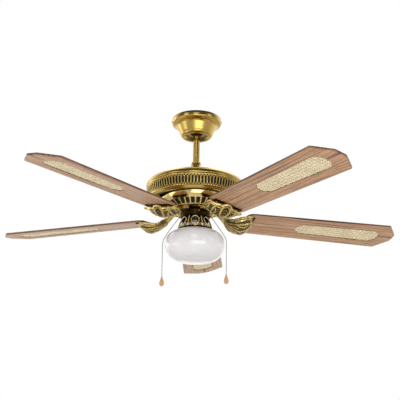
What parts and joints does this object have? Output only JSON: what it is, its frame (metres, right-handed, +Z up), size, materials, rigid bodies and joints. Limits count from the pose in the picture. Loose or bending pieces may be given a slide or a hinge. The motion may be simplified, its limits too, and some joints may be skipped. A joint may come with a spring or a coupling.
{
  "type": "ceiling fan with light",
  "caption": "Downrod ceiling fan with a domed pierced motor housing, pitched cane-inset blades on leaf-shaped irons, an opal glass light globe and two pull chains.",
  "frame": {"origin": "on the ceiling, at the centre of the hanger bracket's top face", "axes": "+Z up into the ceiling and along the fan's spin axis, +Y away from the side the fan is seen from, +X to the right seen from there"},
  "size_m": [1.2648, 1.2239, 0.543],
  "materials": {
    "bracket_steel": "zinc plated",
    "seat_nylon": "moulded nylon",
    "ball_steel": "black oxide",
    "pin_steel": "zinc plated",
    "canopy_brass": "polished antique brass",
    "screw_brass": "polished antique brass",
    "terminal_plastic": "moulded",
    "rod_brass": "polished antique brass",
    "collar_brass": "polished antique brass",
    "yoke_iron": "painted casting",
    "housing_brass": "polished antique brass",
    "shaft_steel": "ground",
    "lamination_steel": "laminated",
    "copper_winding": "enamelled copper",
    "rotor_brass": "polished antique brass",
    "plate_steel": "zinc plated",
    "cup_dark": "dark bronze lacquer",
    "eyelet_brass": "polished",
    "switch_plastic": "moulded",
    "fitter_brass": "antique brass",
    "holder_porcelain": "glazed",
    "bulb_glass": "frosted",
    "opal_glass": "opal, satin",
    "chain_nickel": "nickel plated",
    "drop_wood": "lacquered",
    "iron_brass": "cast antique brass",
    "blade_walnut": "satin walnut veneer",
    "cane": "woven cane"
  },
  "bodies": {
    "mount": {"hanger_bracket": "bracket_steel", "canopy": "canopy_brass", "canopy_screws": "screw_brass", "terminal_block": "terminal_plastic"},
    "seat_ring": {"ball_seat_ring": "seat_nylon"},
    "suspension": {"hanger_ball": "ball_steel", "ball_pin": "pin_steel", "downrod": "rod_brass", "motor_collar": "collar_brass", "motor_yoke": "yoke_iron", "yoke_bolt": "pin_steel", "upper_housing": "housing_brass", "housing_screws": "screw_brass", "motor_shaft": "shaft_steel", "stator_core": "lamination_steel", "stator_windings": "copper_winding", "switch_plate": "plate_steel", "shaft_nut": "shaft_steel", "switch_housing": "cup_dark", "switch_housing_screws": "screw_brass", "chain_eyelets": "eyelet_brass", "fan_speed_switch": "switch_plastic", "light_switch": "switch_plastic", "capacitor": "switch_plastic", "reverse_switch": "switch_plastic", "light_fitter": "fitter_brass", "fitter_nipple": "eyelet_brass", "lampholder": "holder_porcelain", "bulb": "bulb_glass", "glass_globe": "opal_glass", "globe_screws": "screw_brass"},
    "rotor": {"upper_bearing": "shaft_steel", "lower_bearing": "shaft_steel", "rotor_ring": "lamination_steel", "rotor_top_shell": "rotor_brass", "rotor_bottom_shell": "rotor_brass", "rotor_screws": "screw_brass", "iron_screws": "screw_brass", "blade_screws": "screw_brass", "blade_iron_1": "iron_brass", "blade_1": "blade_walnut", "cane_panel_1": "cane", "blade_iron_2": "iron_brass", "blade_2": "blade_walnut", "cane_panel_2": "cane", "blade_iron_3": "iron_brass", "blade_3": "blade_walnut", "cane_panel_3": "cane", "blade_iron_4": "iron_brass", "blade_4": "blade_walnut", "cane_panel_4": "cane", "blade_iron_5": "iron_brass", "blade_5": "blade_walnut", "cane_panel_5": "cane"},
    "reverse_slider": {"reverse_slider": "switch_plastic"},
    "fan_pull": {"fan_chain": "chain_nickel", "fan_drop": "drop_wood"},
    "light_pull": {"light_chain": "chain_nickel", "light_drop": "drop_wood"}
  },
  "joints": [
    {"name": "seat_tilt", "type": "hinge", "parent": "mount", "child": "seat_ring", "pos_m": [0, 0, -0.031], "axis": [1, 0, 0], "range_deg": [-12, 12]},
    {"name": "ball_tilt", "type": "hinge", "parent": "seat_ring", "child": "suspension", "pos_m": [0, 0, -0.031], "axis": [0, 1, 0], "range_deg": [-12, 12]},
    {"name": "fan_spin", "type": "hinge", "parent": "suspension", "child": "rotor", "pos_m": [0, 0, -0.262], "axis": [0, 0, 1], "continuous": true},
    {"name": "reverse_slide", "type": "slide", "parent": "suspension", "child": "reverse_slider", "axis": [1, 0, 0], "range_m": [-0.003, 0.003]},
    {"name": "fan_chain_pull", "type": "slide", "parent": "suspension", "child": "fan_pull", "axis": [0, 0, -1], "range_m": [0, 0.004], "stiffness_N_per_m": 250, "springref_m": -0.004},
    {"name": "light_chain_pull", "type": "slide", "parent": "suspension", "child": "light_pull", "axis": [0, 0, -1], "range_m": [0, 0.004], "stiffness_N_per_m": 250, "springref_m": -0.004}
  ]
}
